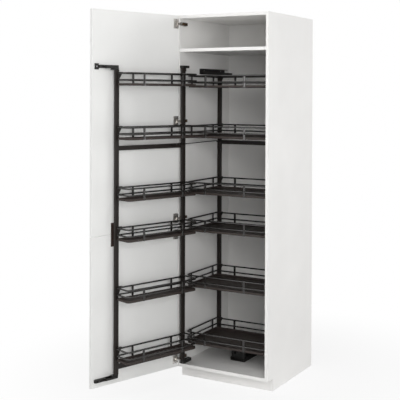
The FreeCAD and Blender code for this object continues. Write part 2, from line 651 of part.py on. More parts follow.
# Frames and baskets
def post(x, y, low_z, high_z):
    """A hollow flat-oval post with a shallow groove down both wide faces."""
    height = high_z - low_z
    half_width = POST_WIDTH * HALF_SHARE
    half_thickness = POST_THICKNESS * HALF_SHARE
    body = box(x - half_width, y - half_thickness, low_z, POST_WIDTH, POST_THICKNESS, height)
    body = body.makeFillet(POST_ROUND, [edge for edge in body.Edges if is_upright(edge)])
    hollow = box(x - half_width + POST_WALL, y - half_thickness + POST_WALL, low_z,
                 POST_WIDTH - POST_WALL - POST_WALL, POST_THICKNESS - POST_WALL - POST_WALL, height)
    groove_x = x - POST_GROOVE * HALF_SHARE
    near = box(groove_x, y - half_thickness, low_z, POST_GROOVE, POST_GROOVE_DEPTH, height)
    far = box(groove_x, y + half_thickness - POST_GROOVE_DEPTH, low_z, POST_GROOVE, POST_GROOVE_DEPTH, height)
    return take(body, [hollow, near, far])


def loop(x0, x1, y0, y1, z, near_radius, far_radius):
    """A closed outline with straight sides and round corners, one radius for each pair.

    near_radius rounds the two corners at y0 and far_radius the two corners at y1.
    """
    corners = ((x0, y0, 1, 1, near_radius), (x1, y0, -1, 1, near_radius),
               (x1, y1, -1, -1, far_radius), (x0, y1, 1, -1, far_radius))
    edges = []
    stops = []
    diagonal = math.sqrt(HALF_SHARE)
    for index, (x, y, in_x, in_y, radius) in enumerate(corners):
        centre = vec(x + in_x * radius, y + in_y * radius, z)
        on_x_side = vec(x, y + in_y * radius, z)
        on_y_side = vec(x + in_x * radius, y, z)
        middle = vec(centre.x - in_x * radius * diagonal, centre.y - in_y * radius * diagonal, z)
        first, last = (on_x_side, on_y_side) if index in (0, 2) else (on_y_side, on_x_side)
        stops.append((first, middle, last))
    for index, (first, middle, last) in enumerate(stops):
        edges.append(Part.Arc(first, middle, last).toShape())
        edges.append(Part.makeLine(last, stops[(index + 1) % len(stops)][0]))
    return Part.Wire(edges)


def wire_loop(x0, x1, y0, y1, z, near_radius, far_radius):
    """A steel wire bent round the outline and welded shut."""
    path = loop(x0, x1, y0, y1, z, near_radius, far_radius)
    start = path.Edges[1].Vertexes[0].Point
    ahead = path.Edges[1].Vertexes[1].Point - start
    ring = Part.Wire([Part.makeCircle(RAIL_WIRE_RADIUS, start, ahead)])
    return path.makePipeShell([ring], True, True)


def basket(x0, x1, y0, y1, near_radius, far_radius, uprights):
    """A welded basket: a sheet tray, two wire loops above it and flat uprights.

    The tray stands at height zero. uprights lists x, y and True where the flat side runs
    along X.
    """
    outline = loop(x0, x1, y0, y1, 0, near_radius, far_radius)
    tray = Part.Face(outline).extrude(vec(0, 0, TRAY_RIM))
    sheet = TRAY_SHEET
    inside = loop(x0 + sheet, x1 - sheet, y0 + sheet, y1 - sheet, sheet,
                  near_radius - sheet, far_radius - sheet)
    tray = take(tray, [Part.Face(inside).extrude(vec(0, 0, TRAY_RIM))])
    pieces = [tray]
    for z in (BASKET_HEIGHT, BASKET_HEIGHT - MID_RAIL_DROP):
        pieces.append(wire_loop(x0, x1, y0, y1, z, near_radius, far_radius))
    for x, y, along_x in uprights:
        width = UPRIGHT_WIDTH if along_x else UPRIGHT_THICKNESS
        depth = UPRIGHT_THICKNESS if along_x else UPRIGHT_WIDTH
        pieces.append(box(x - width * HALF_SHARE, y - depth * HALF_SHARE, 0, width, depth, BASKET_HEIGHT))
    return join(pieces)


def hook(x, y, z, toward, inward):
    """A tapered hook plate on a post whose lip lies over the basket's upper wire.

    x is the post's middle, y its face and z the height of the wire. toward is the side the
    basket is on and inward the side of the plate that reaches out beyond the post.
    """
    low_y = y if toward > 0 else y - HOOK_THICKNESS
    back_x = x + inward * HOOK_SHIFT
    low_z = z - HOOK_HEIGHT
    high_z = z + RAIL_WIRE_RADIUS + HOOK_LIP
    corners = [vec(back_x, low_y, low_z), vec(back_x + inward * HOOK_FOOT_WIDTH, low_y, low_z),
               vec(back_x + inward * HOOK_WIDTH, low_y, z - RAIL_WIRE_RADIUS),
               vec(back_x + inward * HOOK_WIDTH, low_y, high_z), vec(back_x, low_y, high_z)]
    outline = Part.makePolygon(corners + corners[:1])
    plate = Part.Face(outline).extrude(vec(0, HOOK_THICKNESS, 0))
    reach = HOOK_THICKNESS + RAIL_WIRE_RADIUS + RAIL_WIRE_RADIUS
    lip_y = y if toward > 0 else y - reach
    lip_x = min(back_x, back_x + inward * HOOK_WIDTH)
    lip = box(lip_x, lip_y, z + RAIL_WIRE_RADIUS, HOOK_WIDTH, reach, HOOK_LIP)
    return join([plate, lip])


def swinging_frame():
    """Two posts and two cross bars that turn on two pivot brackets and carry six narrow baskets."""
    half_thickness = POST_THICKNESS * HALF_SHARE
    pivot_x = PIVOT_X + POST_FROM_PIVOT
    free_x = PIVOT_X + FREE_POST_FROM_PIVOT
    post_y = PIVOT_Y + FRAME_FROM_PIVOT
    low_z = PLINTH_HEIGHT + PIVOT_POST_BOTTOM
    high_z = PLINTH_HEIGHT + PIVOT_POST_TOP
    lower_rail_top = PLINTH_HEIGHT + LOWER_RAIL_HEIGHT + RAIL_HEIGHT
    upper_rail_low = PLINTH_HEIGHT + UPPER_RAIL_HEIGHT
    free_low = lower_rail_top + RAIL_RUN_GAP + BLOCK_HEIGHT
    free_high = upper_rail_low - RAIL_RUN_GAP - BLOCK_HEIGHT
    save("swing_frame_pivot_post", on_frame(post(pivot_x, post_y, low_z, high_z)))
    save("swing_frame_free_post", on_frame(post(free_x, post_y, free_low, free_high)))
    bar_start = pivot_x + POST_WIDTH * HALF_SHARE
    bar_length = free_x - POST_WIDTH * HALF_SHARE - bar_start
    bars = [box(bar_start, post_y - CROSSBAR_THICKNESS * HALF_SHARE, top - CROSSBAR_HEIGHT, bar_length,
                CROSSBAR_THICKNESS, CROSSBAR_HEIGHT)
            for top in (PLINTH_HEIGHT + LOWER_BAR_TOP, PLINTH_HEIGHT + CROSSBAR_TOP)]
    save("swing_frame_crossbars", [on_frame(s) for s in bars])

    lug_length = POST_FROM_PIVOT + POST_WIDTH * HALF_SHARE
    lug_depth = FRAME_FROM_PIVOT + half_thickness
    lugs = []
    for z in (low_z - LUG_THICKNESS, high_z):
        eye = rod(PIVOT_X, PIVOT_Y, z, LUG_EYE_RADIUS, LUG_THICKNESS)
        tongue = box(PIVOT_X, PIVOT_Y, z, lug_length, lug_depth, LUG_THICKNESS)
        bore = rod(PIVOT_X, PIVOT_Y, z, PIVOT_PIN_RADIUS + PIVOT_PIN_GAP, LUG_THICKNESS)
        lugs.append(on_frame(take(join([eye, tongue]), [bore])))
    save("swing_frame_pivot_lugs", lugs)

    roller_y = post_y - ROLLER_OFFSET
    block_depth = BLOCK_NOSE + ROLLER_OFFSET + half_thickness
    roller_length = RAIL_RUN_GAP + TRAY_HEIGHT - TRAY_FLOOR - ROLLER_END_GAP
    block_x = free_x + BLOCK_SHIFT - BLOCK_LENGTH * HALF_SHARE
    blocks = [box(block_x, roller_y - BLOCK_NOSE, z, BLOCK_LENGTH, block_depth, BLOCK_HEIGHT)
              for z in (free_low - BLOCK_HEIGHT, free_high)]
    roller_low = lower_rail_top + RAIL_RUN_GAP - roller_length
    rollers = [rod(free_x, roller_y, roller_low, ROLLER_RADIUS, roller_length),
               rod(free_x, roller_y, upper_rail_low - RAIL_RUN_GAP, ROLLER_RADIUS, roller_length)]
    save("free_post_guide_blocks", [on_frame(s) for s in blocks])
    save("guide_rollers", [on_frame(s) for s in rollers])

    floor_block = box(PIVOT_X - BRACKET_WIDTH * HALF_SHARE, PIVOT_Y - BRACKET_EDGE, FLOOR_LEVEL,
                      BRACKET_WIDTH, BRACKET_DEPTH, FLOOR_BRACKET_HEIGHT)
    boss_top = low_z - LUG_THICKNESS - PIVOT_RUN_GAP
    boss_z = FLOOR_LEVEL + FLOOR_BRACKET_HEIGHT
    pin_length = PIVOT_RUN_GAP + LUG_THICKNESS - PIVOT_PIN_GAP
    boss = rod(PIVOT_X, PIVOT_Y, boss_z, BRACKET_EDGE, boss_top - boss_z)
    pin = rod(PIVOT_X, PIVOT_Y, boss_top, PIVOT_PIN_RADIUS, pin_length)
    cutters = []
    screws = []
    for x, y, z in floor_bracket_screws():
        screws.append(screw(x, y, z, -UP))
        cutters.append(screw(x, y, z, -UP, BORE_GAP))
        cutters.append(rod(x, y, z, SCREW_HEAD_RADIUS + BORE_GAP, FLOOR_BRACKET_HEIGHT))
    save("pivot_bracket_lower", take(join([floor_block, boss, pin]), cutters))

    shelf_z = high_z + LUG_THICKNESS + PIVOT_RUN_GAP
    shelf = box(PANEL, PIVOT_Y - BRACKET_EDGE, shelf_z, PIVOT_X + BRACKET_EDGE - PANEL,
                TOP_BRACKET_LENGTH - PIVOT_Y + BRACKET_EDGE, TOP_BRACKET_THICKNESS)
    wing_y = TOP_BRACKET_LENGTH * THIRD_SHARE
    wing = box(PANEL, wing_y, shelf_z - TOP_BRACKET_HEIGHT + BRACKET_SHEET, BRACKET_SHEET,
               TOP_BRACKET_LENGTH - wing_y, TOP_BRACKET_HEIGHT)
    pin = rod(PIVOT_X, PIVOT_Y, shelf_z - pin_length, PIVOT_PIN_RADIUS, pin_length)
    tools = [screw(x, y, z, -ALONG_X, BORE_GAP) for x, y, z in top_bracket_screws()]
    screws += [screw(x, y, z, -ALONG_X) for x, y, z in top_bracket_screws()]
    save("pivot_bracket_upper", take(join([shelf, wing, pin]), tools))

    x0 = PIVOT_X + DOOR_BASKET_START
    x1 = PIVOT_X + DOOR_BASKET_END
    face_y = post_y + half_thickness
    y0 = face_y + HOOK_THICKNESS + RAIL_WIRE_RADIUS
    y1 = PIVOT_Y + DOOR_BASKET_FRONT
    inset = DOOR_UPRIGHT_INSET
    uprights = [(x, y, True) for x in (x0 + inset, x1 - inset) for y in (y0, y1)]
    one = basket(x0, x1, y0, y1, BACK_CORNER, DOOR_BASKET_CORNER, uprights)
    hooks = []
    for number, row in enumerate(BASKET_ROWS, 1):
        z = PLINTH_HEIGHT + row
        save("door_basket_%d" % number, on_frame(moved(one, 0, 0, z)))
        for x, inward in ((pivot_x, 1), (free_x, -1)):
            hooks.append(on_frame(hook(x, face_y, z + BASKET_HEIGHT, 1, inward)))
    save("door_basket_hooks", hooks)
    return screws


def inner_frame():
    """Two posts, cross bar and base bar on a floor carriage, carrying six deep baskets."""
    half_width = POST_WIDTH * HALF_SHARE
    left_x = INNER_LEFT + INNER_POST_FROM_SIDE
    right_x = INNER_RIGHT - INNER_POST_FROM_SIDE
    post_y = INNER_POST_FRONT + POST_THICKNESS * HALF_SHARE
    low_z = FLOOR_LEVEL + FLOOR_TRACK_HEIGHT + CARRIAGE_GAP + CARRIAGE_HEIGHT
    high_z = PLINTH_HEIGHT + TOP_RAIL_UNDERSIDE - POST_CAP_GAP - POST_CAP
    save("inner_frame_post_left", post(left_x, post_y, low_z, high_z))
    save("inner_frame_post_right", post(right_x, post_y, low_z, high_z))
    bar_x = left_x + half_width
    bar_length = right_x - half_width - bar_x
    base_bar = box(bar_x, INNER_POST_FRONT, low_z, bar_length, POST_THICKNESS, BASE_BAR_HEIGHT)
    save("inner_frame_base_bar", base_bar)
    bar_top = PLINTH_HEIGHT + CROSSBAR_TOP
    crossbar = box(bar_x, post_y - CROSSBAR_THICKNESS * HALF_SHARE, bar_top - CROSSBAR_HEIGHT,
                   bar_length, CROSSBAR_THICKNESS, CROSSBAR_HEIGHT)
    save("inner_frame_crossbar", crossbar)
    cap = box(right_x - half_width, INNER_POST_FRONT, high_z, POST_WIDTH, POST_THICKNESS, POST_CAP)
    save("inner_post_cap", cap)

    x0 = INNER_LEFT + INNER_BASKET_SIDE_GAP
    x1 = INNER_RIGHT - INNER_BASKET_SIDE_GAP
    y0 = INNER_BASKET_FRONT
    y1 = INNER_POST_FRONT - HOOK_THICKNESS - RAIL_WIRE_RADIUS
    upright_x_values = (x0 + INNER_UPRIGHT_INSET - INNER_UPRIGHT_SHIFT,
                        x1 - INNER_UPRIGHT_INSET - INNER_UPRIGHT_SHIFT)
    uprights = [(x, y, True) for x in upright_x_values for y in (y0, y1)]
    side_y_values = (y0 + INNER_SIDE_UPRIGHT_INSET, y1 - INNER_SIDE_REAR_INSET)
    uprights += [(x, y, False) for x in (x0, x1) for y in side_y_values]
    one = basket(x0, x1, y0, y1, INNER_BASKET_CORNER, BACK_CORNER, uprights)
    hooks = []
    for number, row in enumerate(BASKET_ROWS, 1):
        z = PLINTH_HEIGHT + row - INNER_ROW_DROP
        save("inner_basket_%d" % number, moved(one, 0, 0, z))
        for x, inward in ((left_x, 1), (right_x, -1)):
            hooks.append(hook(x, INNER_POST_FRONT, z + BASKET_HEIGHT, -1, inward))
    save("inner_basket_hooks", hooks)


def floor_runner():
    """A lipped track on the bottom panel and the carriage that slides in it under the frame."""
    wall = TOP_RAIL_WALL
    centre_x = CARCASS_WIDTH * HALF_SHARE
    track_x = centre_x - FLOOR_TRACK_WIDTH * HALF_SHARE
    cavity_width = FLOOR_TRACK_WIDTH - wall - wall
    cavity_height = FLOOR_TRACK_HEIGHT - wall - wall
    slot_width = FLOOR_TRACK_WIDTH - FLOOR_TRACK_LIP - FLOOR_TRACK_LIP
    front = FLOOR_TRACK_FRONT
    length = FLOOR_TRACK_LENGTH
    track = box(track_x, front, FLOOR_LEVEL, FLOOR_TRACK_WIDTH, length, FLOOR_TRACK_HEIGHT)
    cavity = box(track_x + wall, front, FLOOR_LEVEL + wall, cavity_width, length, cavity_height)
    slot = box(track_x + FLOOR_TRACK_LIP, front, FLOOR_LEVEL + wall, slot_width, length, FLOOR_TRACK_HEIGHT)
    bores = [screw(x, y, z, -UP, BORE_GAP) for x, y, z in floor_track_screws()]
    save("floor_runner_track", take(track, [cavity, slot] + bores))

    rear_y = INNER_POST_FRONT + POST_THICKNESS
    front_y = rear_y - CARRIAGE_LENGTH
    gap = CARRIAGE_GAP
    body_z = FLOOR_LEVEL + FLOOR_TRACK_HEIGHT + gap
    body = box(track_x, front_y, body_z, FLOOR_TRACK_WIDTH, CARRIAGE_LENGTH, CARRIAGE_HEIGHT)
    body = body.makeFillet(CARRIAGE_ROUND, [edge for edge in body.Edges if is_upright(edge)])
    notch_x = track_x + FLOOR_TRACK_WIDTH * THIRD_SHARE - CARRIAGE_NOTCH_WIDTH
    notch = box(notch_x, front_y, body_z + CARRIAGE_HEIGHT - CARRIAGE_NOTCH_DEPTH, CARRIAGE_NOTCH_WIDTH,
                CARRIAGE_LENGTH, CARRIAGE_NOTCH_DEPTH)
    neck_y = front_y + CARRIAGE_ROUND
    neck_length = CARRIAGE_LENGTH - CARRIAGE_ROUND - CARRIAGE_ROUND
    neck = box(track_x + FLOOR_TRACK_LIP + gap, neck_y, FLOOR_LEVEL + wall, slot_width - gap - gap,
               neck_length, FLOOR_TRACK_HEIGHT + gap - wall)
    runner = box(track_x + wall + gap, neck_y, FLOOR_LEVEL + wall, cavity_width - gap - gap,
                 neck_length, cavity_height - gap)
    save("floor_runner_carriage", join([take(body, [notch]), neck, runner]))


def top_guide():
    """A guide rail on the left side panel and the carriage on the left post that runs in it."""
    wall = TOP_RAIL_WALL
    gap = CARRIAGE_GAP
    rail_z = PLINTH_HEIGHT + TOP_RAIL_UNDERSIDE
    length = TOP_RAIL_LENGTH + TOP_RAIL_TAIL
    full = box(INNER_LEFT, TOP_RAIL_FRONT, rail_z, TOP_RAIL_WIDTH, TOP_RAIL_LENGTH, TOP_RAIL_HEIGHT)
    tail = box(INNER_LEFT, TOP_RAIL_FRONT, rail_z, TOP_RAIL_WIDTH, length, TOP_RAIL_TAIL_HEIGHT)
    channel = box(INNER_LEFT + wall, TOP_RAIL_FRONT, rail_z + wall, TOP_RAIL_WIDTH - wall - wall, length,
                  TOP_CHANNEL_HEIGHT)
    stem_x = INNER_LEFT + TOP_RAIL_WIDTH * HALF_SHARE - TOP_STEM_WIDTH * HALF_SHARE
    slot = box(stem_x - gap, TOP_RAIL_FRONT, rail_z, TOP_STEM_WIDTH + gap + gap, length, wall)
    pocket_height = TOP_RAIL_HEIGHT - TOP_RAIL_TAIL_HEIGHT - wall
    pocket = box(INNER_LEFT + wall, TOP_RAIL_FRONT, rail_z + TOP_RAIL_TAIL_HEIGHT, TOP_RAIL_WIDTH,
                 TOP_RAIL_LENGTH, pocket_height)
    bores = [screw(x, y, z, -ALONG_X, BORE_GAP) for x, y, z in top_rail_screws()]
    save("top_guide_rail", take(join([full, tail]), [channel, slot, pocket] + bores))

    rear_y = INNER_POST_FRONT + POST_THICKNESS
    slide = box(INNER_LEFT + wall + gap, rear_y - TOP_CARRIAGE_LENGTH, rail_z + wall + gap,
                TOP_RAIL_WIDTH - wall - wall - gap - gap, TOP_CARRIAGE_LENGTH, TOP_CHANNEL_HEIGHT - gap - gap)
    cap_z = rail_z - POST_CAP_GAP - POST_CAP
    stem_height = POST_CAP_GAP + wall + gap + POST_CAP
    stem = box(stem_x, INNER_POST_FRONT, cap_z, TOP_STEM_WIDTH, POST_THICKNESS, stem_height)
    cap_end = INNER_LEFT + INNER_POST_FROM_SIDE + POST_WIDTH * HALF_SHARE
    cap = box(stem_x, INNER_POST_FRONT, cap_z, cap_end - stem_x, POST_THICKNESS, POST_CAP)
    save("top_guide_carriage", join([slide, stem, cap]))


def coupling_rod():
    """A rod from the swinging frame to the inner frame with a bracket for each end."""
    post_y = PIVOT_Y + FRAME_FROM_PIVOT
    half_width = ROD_BRACKET_WIDTH * HALF_SHARE
    plate_z = PLINTH_HEIGHT + CROSSBAR_TOP - ROD_DROP - ROD_BRACKET_THICKNESS
    eye_z = plate_z + ROD_BRACKET_THICKNESS + ROD_SEAT_GAP
    front_x = PIVOT_X + ROD_FRONT_ALONG
    front_y = PIVOT_Y + ROD_FRONT_OUT
    plate_y = post_y + CROSSBAR_THICKNESS * HALF_SHARE
    plate = box(front_x - half_width, plate_y, plate_z, ROD_BRACKET_WIDTH, front_y + half_width - plate_y,
                ROD_BRACKET_THICKNESS)
    pin_length = ROD_BRACKET_THICKNESS + ROD_SEAT_GAP + ROD_EYE_HEIGHT
    pin = rod(front_x, front_y, plate_z, ROD_PIN_RADIUS, pin_length)
    save("rod_bracket_front", on_frame(join([plate, pin])))

    rear_plate_z = eye_z - ROD_REAR_GAP - ROD_BRACKET_THICKNESS
    rear_plate_y = ROD_REAR_Y - half_width
    save("rod_bracket_rear", box(ROD_REAR_X - half_width, rear_plate_y, rear_plate_z, ROD_BRACKET_WIDTH,
                                 INNER_POST_FRONT - rear_plate_y, ROD_BRACKET_THICKNESS))

    start = turned(Part.Vertex(front_x, front_y, 0), PIVOT_X, PIVOT_Y, -OPEN_ANGLE).Point
    ahead = vec(ROD_REAR_X - start.x, ROD_REAR_Y - start.y, 0)
    front_eye = rod(start.x, start.y, eye_z, ROD_EYE_RADIUS, ROD_EYE_HEIGHT)
    rear_eye = rod(ROD_REAR_X, ROD_REAR_Y, eye_z, ROD_EYE_RADIUS, ROD_EYE_HEIGHT)
    bar = rod(start.x, start.y, eye_z + ROD_EYE_HEIGHT * HALF_SHARE, ROD_RADIUS, ahead.Length, ahead)
    bore = rod(start.x, start.y, eye_z, ROD_PIN_RADIUS + ROD_PIN_GAP, ROD_EYE_HEIGHT)
    save("coupling_rod", take(join([front_eye, rear_eye, bar]), [bore]))


carcass()
levelling_feet()
fronts()
hinges()
bracket_fixings = swinging_frame()
inner_frame()
floor_runner()
top_guide()
coupling_rod()
bracket_fixings += [screw(x, y, z, -UP) for x, y, z in floor_track_screws()]
bracket_fixings += [screw(x, y, z, -ALONG_X) for x, y, z in top_rail_screws()]
save("bracket_screws", bracket_fixings)
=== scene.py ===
"""Looks of a tall larder cabinet whose open door brings a frame of baskets with it.

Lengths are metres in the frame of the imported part: +X to the right, +Y into the depth, +Z up,
with the origin on the floor under the middle of the carcass.
"""

import math

import bpy
import numpy as np
from mathutils import Matrix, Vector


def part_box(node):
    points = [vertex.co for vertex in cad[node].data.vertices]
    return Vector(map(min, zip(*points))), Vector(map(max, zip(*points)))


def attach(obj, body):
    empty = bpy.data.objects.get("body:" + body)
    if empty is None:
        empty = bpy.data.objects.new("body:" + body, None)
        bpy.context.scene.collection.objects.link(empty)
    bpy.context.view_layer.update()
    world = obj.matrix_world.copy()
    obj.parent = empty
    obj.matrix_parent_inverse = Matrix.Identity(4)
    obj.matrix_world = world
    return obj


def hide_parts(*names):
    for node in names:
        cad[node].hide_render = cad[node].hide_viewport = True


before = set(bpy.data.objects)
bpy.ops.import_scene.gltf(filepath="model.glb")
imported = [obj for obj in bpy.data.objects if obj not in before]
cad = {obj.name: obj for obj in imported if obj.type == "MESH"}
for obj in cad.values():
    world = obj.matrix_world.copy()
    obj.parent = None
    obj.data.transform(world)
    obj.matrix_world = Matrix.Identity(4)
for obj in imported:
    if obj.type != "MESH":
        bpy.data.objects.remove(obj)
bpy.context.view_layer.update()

# Side panels, top, bottom and shelf
# The real boards are 18 mm chipboard faced with smooth white melamine and edged to match.
# Cam fittings draw them together.
MM = 0.001


def linear(hex_colour):
    """An sRGB hex colour as linear red, green, blue and alpha."""
    channels = [int(hex_colour[start:start + 2], 16) / 255.0 for start in (0, 2, 4)]
    return [c / 12.92 if c <= 0.04045 else ((c + 0.055) / 1.055) ** 2.4 for c in channels] + [1.0]


def add(tree, kind, settings=None, values=None, links=None):
    """Adds one shader node, sets its options and sockets and links what feeds it."""
    made = tree.nodes.new(kind)
    for name, value in (settings or {}).items():
        setattr(made, name, value)
    for name, value in (values or {}).items():
        made.inputs[name].default_value = value
    for name, source in (links or {}).items():
        tree.links.new(source, made.inputs[name])
    return made


def finish(name, dark, light, patch_mm, roughness, spread, grain_mm, relief_mm,
           drawn_shares=(1, 1, 1), **shine):
    """A material with soft patches of two close colours and a fine grain in its relief.

    patch_mm and grain_mm are the real sizes of the patches and of the grain, relief_mm is the
    grain's height, spread is how far the roughness strays and drawn_shares stretch the grain: a
    share of one along an axis keeps it as it is, a smaller one draws it out. shine sets the
    shader's own sockets.
    """
    made = bpy.data.materials.new(name)
    made.use_nodes = True
    tree = made.node_tree
    tree.nodes.clear()
    place = add(tree, "ShaderNodeTexCoord").outputs["Object"]
    patches = add(tree, "ShaderNodeTexNoise", values={"Scale": 1.0 / (patch_mm * MM), "Detail": 2.0},
                  links={"Vector": place}).outputs["Fac"]
    ramp = add(tree, "ShaderNodeValToRGB", links={"Fac": patches})
    ramp.color_ramp.elements[0].color = linear(dark)
    ramp.color_ramp.elements[0].position = 0.3
    ramp.color_ramp.elements[1].color = linear(light)
    ramp.color_ramp.elements[1].position = 0.7
    rough = add(tree, "ShaderNodeMapRange", links={"Value": patches},
                values={"To Min": roughness - spread, "To Max": roughness + spread})
    along = add(tree, "ShaderNodeMapping", values={"Scale": drawn_shares}, links={"Vector": place})
    grain = add(tree, "ShaderNodeTexNoise", values={"Scale": 1.0 / (grain_mm * MM), "Detail": 3.0},
                links={"Vector": along.outputs["Vector"]}).outputs["Fac"]
    bump = add(tree, "ShaderNodeBump", values={"Strength": 0.5, "Distance": relief_mm * MM},
               links={"Height": grain})
    shader = add(tree, "ShaderNodeBsdfPrincipled", values=shine,
                 links={"Base Color": ramp.outputs["Color"], "Roughness": rough.outputs["Result"],
                        "Normal": bump.outputs["Normal"]})
    add(tree, "ShaderNodeOutputMaterial", links={"Surface": shader.outputs["BSDF"]})
    return made


def dress(material, *names):
    """Gives CAD nodes their material."""
    for name in names:
        mesh = cad[name].data
        mesh.materials.clear()
        mesh.materials.append(material)


# Pressed melamine paper: an even, slightly waxy white with the faint orange peel of the press.
melamine = finish("pressed white melamine", "E9E8E6", "EEEDEB",
                  patch_mm=240.0, roughness=0.46, spread=0.04, grain_mm=1.6, relief_mm=0.012)
dress(melamine, "side_panel_left", "side_panel_right", "top_panel", "bottom_panel", "fixed_shelf")

# Back board
# A thin fibreboard with a printed white face, slid into grooves in the side panels.
# The print is a little duller than melamine.
printed_white = finish("white printed fibreboard", "E2E1DF", "E7E6E4",
                       patch_mm=200.0, roughness=0.58, spread=0.04, grain_mm=2.0, relief_mm=0.02)
dress(printed_white, "back_panel")

# Plinth boards
# White faced strips of the same board, set back under the front and across the rear.
# They stand on edge between the floor and the carcass.
plinth_white = finish("white plinth melamine", "E6E5E3", "EBEAE8",
                      patch_mm=180.0, roughness=0.5, spread=0.04, grain_mm=1.6, relief_mm=0.012)
dress(plinth_white, "plinth_board", "rear_plinth_rail")

# Cam fittings
# Zinc cam locks cast and tumbled, turned on steel bolts inside the boards.
# The skin of the casting is grey and slightly pitted.
zinc = finish("cast zinc", "8E8E90", "A5A5A8",
              patch_mm=6.0, roughness=0.42, spread=0.08, grain_mm=0.6, relief_mm=0.02,
              Metallic=1.0)
dress(zinc, "cam_locks", "cam_bolts")

# Levelling feet
# Black polypropylene blocks screwed under the bottom board with moulded threaded feet.
# Moulding gives an even, dull sheen.
polypropylene = finish("black moulded polypropylene", "161616", "1C1C1C",
                       patch_mm=12.0, roughness=0.5, spread=0.05, grain_mm=0.5, relief_mm=0.02)
dress(polypropylene, "levelling_foot_blocks", "levelling_feet")

# Door fronts
# Two 18 mm boards with a sprayed white satin lacquer, joined by a steel plate inside.
# The lacquer levels out to a smoother and whiter face than melamine.
lacquer = finish("white satin lacquer", "EEEEEC", "F2F2F0",
                 patch_mm=300.0, roughness=0.36, spread=0.03, grain_mm=2.2, relief_mm=0.01)
dress(lacquer, "door_front_lower", "door_front_upper")

# Joining plate
# A flat steel strip screwed over the seam of the two fronts, dipped in dark lacquer.
# It looks nearly black, with brown screws.
dark_lacquer = finish("dark dipped steel", "2B1E1B", "382824",
                      patch_mm=9.0, roughness=0.38, spread=0.06, grain_mm=0.8, relief_mm=0.02)
dress(dark_lacquer, "front_joining_plate")
browned = finish("browned screw steel", "4A3730", "5A443A",
                 patch_mm=3.0, roughness=0.4, spread=0.06, grain_mm=0.3, relief_mm=0.006,
                 Metallic=0.6)
dress(browned, "joining_plate_screws")

# Concealed hinges
# Pressed steel: bright nickel on the cups and mounting plates and a bronze tint on the arms. The links
# are nickel plated too but painted dark, as painted shade for the hollow of the cup. The plating keeps
# faint lines from the press, drawn along the arm.
nickel = finish("nickel plated steel", "C4C1BC", "D6D3CE",
                patch_mm=8.0, roughness=0.34, spread=0.06, grain_mm=0.5, relief_mm=0.01,
                drawn_shares=(1, 0.2, 1), Metallic=1.0)
dress(nickel, "hinge_mounting_plates", "hinge_cups")
bronze_plate = finish("bronze tinted nickel plate", "5E4C3A", "6C5845",
                      patch_mm=8.0, roughness=0.45, spread=0.06, grain_mm=0.5, relief_mm=0.01,
                      drawn_shares=(1, 0.2, 1), Metallic=1.0)
dress(bronze_plate, "hinge_arms")
# Painted shade: the links' nickel is given a dark grey that stands for the shade inside the hinge cups.
cup_shade_darkened_link_steel = finish("nickel link steel darkened as painted cup shade", "4E4B48", "5C5955",
                    patch_mm=8.0, roughness=0.5, spread=0.06, grain_mm=0.5, relief_mm=0.01,
                    Metallic=1.0)
dress(cup_shade_darkened_link_steel, "hinge_links")
screw_steel = finish("zinc plated screw steel", "98969A", "B0AEB0",
                     patch_mm=3.0, roughness=0.33, spread=0.06, grain_mm=0.3, relief_mm=0.006,
                     Metallic=1.0)
dress(screw_steel, "hinge_cup_screws", "hinge_plate_screws", "guide_rail_screws", "bracket_screws")

# Guide rails, brackets and tracks
# Pressed steel with a black powder coat, screwed to the door and to the boards.
# The baked powder leaves a fine pebbled skin.
black_coat = finish("black powder coated steel", "12110F", "191715",
                    patch_mm=10.0, roughness=0.42, spread=0.05, grain_mm=0.8, relief_mm=0.02,
                    **{"Specular IOR Level": 0.35})
dress(black_coat, "door_guide_rail_lower", "door_guide_rail_upper", "pivot_bracket_upper",
      "pivot_bracket_lower", "floor_runner_track", "top_guide_rail")

# Rollers, guide blocks and carriages
# Black acetal parts that run in the rails, moulded and a little waxy.
# They plug onto the posts or are screwed under the base bar.
acetal = finish("black moulded acetal", "0A0A09", "0F0F0E",
                patch_mm=10.0, roughness=0.36, spread=0.05, grain_mm=0.5, relief_mm=0.02,
                **{"Specular IOR Level": 0.3})
dress(acetal, "guide_rollers", "free_post_guide_blocks", "floor_runner_carriage",
      "top_guide_carriage", "inner_post_cap")

# Posts of both frames
# Flat steel tube with rounded corners and a shallow groove down each wide face, cut to length.
# An anthracite powder coat leaves it warm dark grey with a soft sheen.
anthracite = finish("anthracite powder coated steel", "17120F", "1E1814",
                    patch_mm=14.0, roughness=0.5, spread=0.05, grain_mm=0.8, relief_mm=0.02,
                    **{"Specular IOR Level": 0.3})
POST_WIDTH = 28.0 * MM
POST_THICKNESS = 12.0 * MM
POST_ROUND = 3.0 * MM
GROOVE_WIDTH = 3.0 * MM
GROOVE_DEPTH = 0.8 * MM
PIVOT = (-0.260, -0.295)
OPEN_ANGLE = math.radians(108.8)
PIVOT_POST_ALONG = 8.0 * MM
FREE_POST_ALONG = 476.0 * MM
POST_OUT = 8.5 * MM
CORNER_STEPS = 12


def rounded(x0, x1, y0, y1, near, far, steps=CORNER_STEPS):
    """A closed outline with round corners: its points and their outward directions.

    Four quarter circles one after the other, each its corner's centre plus its radius times
    (cosine, sine) of an angle that grows by a quarter turn. near is the radius of the two
    corners at y0 and far that of the two at y1.
    """
    radius = np.array([near, far, far, near])
    centre = np.array([(x1 - near, y0 + near), (x1 - far, y1 - far),
                       (x0 + far, y1 - far), (x0 + near, y0 + near)])
    turns = np.array([-0.25, 0.0, 0.25, 0.5])[:, None] + np.linspace(0.0, 0.25, steps)
    outward = np.stack([np.cos(turns * math.tau), np.sin(turns * math.tau)], axis=-1)
    points = centre[:, None] + radius[:, None, None] * outward
    return points.reshape(-1, 2), outward.reshape(-1, 2)


